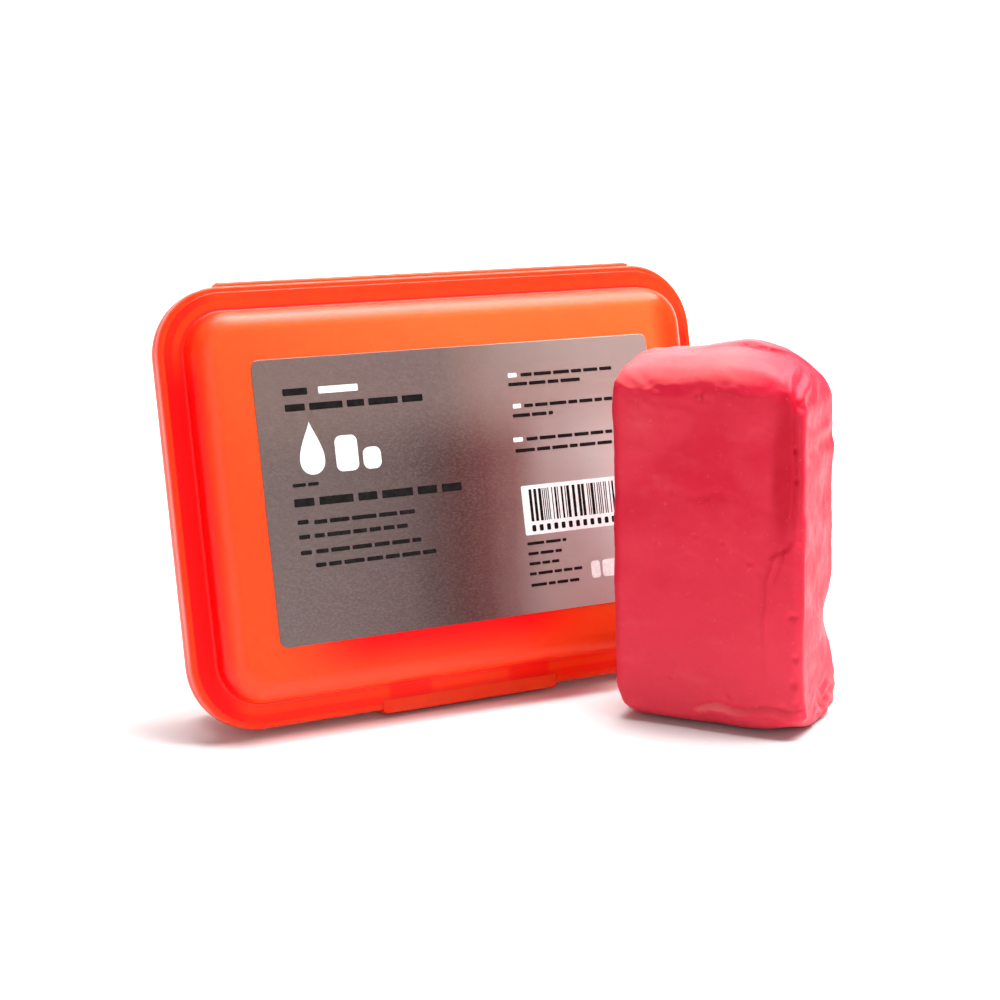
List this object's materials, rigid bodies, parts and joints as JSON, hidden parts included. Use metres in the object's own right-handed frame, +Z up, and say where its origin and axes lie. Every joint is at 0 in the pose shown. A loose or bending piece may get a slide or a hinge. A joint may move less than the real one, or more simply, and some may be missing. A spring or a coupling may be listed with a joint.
{
  "type": "clay bar with storage case",
  "caption": "Block of detailing clay standing on end beside its hinged, translucent plastic storage case with a snap tongue and a label panel.",
  "frame": {"origin": "middle of the clay bar's flat foot, on the surface that the bar and the case stand on", "axes": "+X along the case's width and its hinge, from left to right as the lid is seen; +Y from the lid towards the tray; +Z up"},
  "size_m": [0.147, 0.1038, 0.1048],
  "materials": {
    "case_plastic": "satin",
    "label_film": "satin",
    "clay": "satin"
  },
  "bodies": {
    "lid": {"lid_shell": "case_plastic", "lid_hinge_leaf": "case_plastic", "label": "label_film", "hinge_film": "case_plastic"},
    "tray": {"tray_shell": "case_plastic", "seal_bead": "case_plastic", "tray_hinge_leaf": "case_plastic", "catch_lugs": "case_plastic"},
    "tongue": {"latch_tongue": "case_plastic"},
    "clay": {"clay_bar": "clay"}
  },
  "joints": [
    {"name": "case_hinge", "type": "hinge", "parent": "lid", "child": "tray", "pos_m": [-0.048, 0.06114, 0.10453], "axis": [1, 0, 0], "range_deg": [0, 180]},
    {"name": "tongue_flex", "type": "hinge", "parent": "lid", "child": "tongue", "pos_m": [-0.05, 0.03581, 0.00425], "axis": [-1, 0, 0], "range_deg": [0, 12], "stiffness_Nm_per_rad": 0.15},
    {"name": "clay_lift", "type": "slide", "parent": "lid", "child": "clay", "axis": [0, 0, 1], "range_m": [0, 0.12]}
  ]
}
